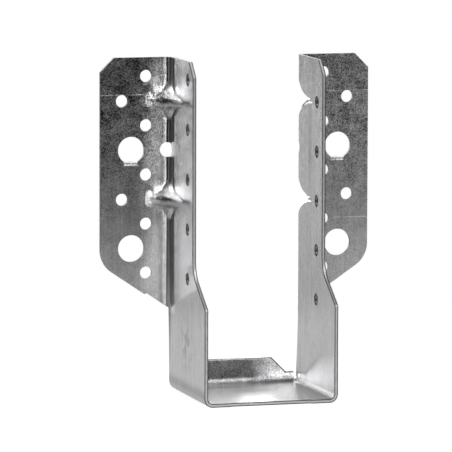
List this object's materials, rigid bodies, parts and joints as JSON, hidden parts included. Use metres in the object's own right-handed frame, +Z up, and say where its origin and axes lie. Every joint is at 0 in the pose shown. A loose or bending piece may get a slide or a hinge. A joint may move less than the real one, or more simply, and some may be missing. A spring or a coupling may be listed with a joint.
{
  "type": "joist hanger",
  "caption": "Face-fixed joist hanger folded from one galvanised sheet: seat, two cheeks, outward flanges with nail and bolt holes, and pressed ribs across the bends.",
  "frame": {"origin": "middle of the seat's underside", "axes": "+X across the joist to the right, +Y back towards the header, +Z up"},
  "size_m": [0.1134, 0.0585, 0.1357],
  "materials": {
    "galvanised_sheet": "hot-dip galvanised sheet with a fine spangle, duller on the flanges, drawn streaks on the cheeks"
  },
  "bodies": {
    "root": {"hanger": "galvanised_sheet"}
  },
  "joints": []
}
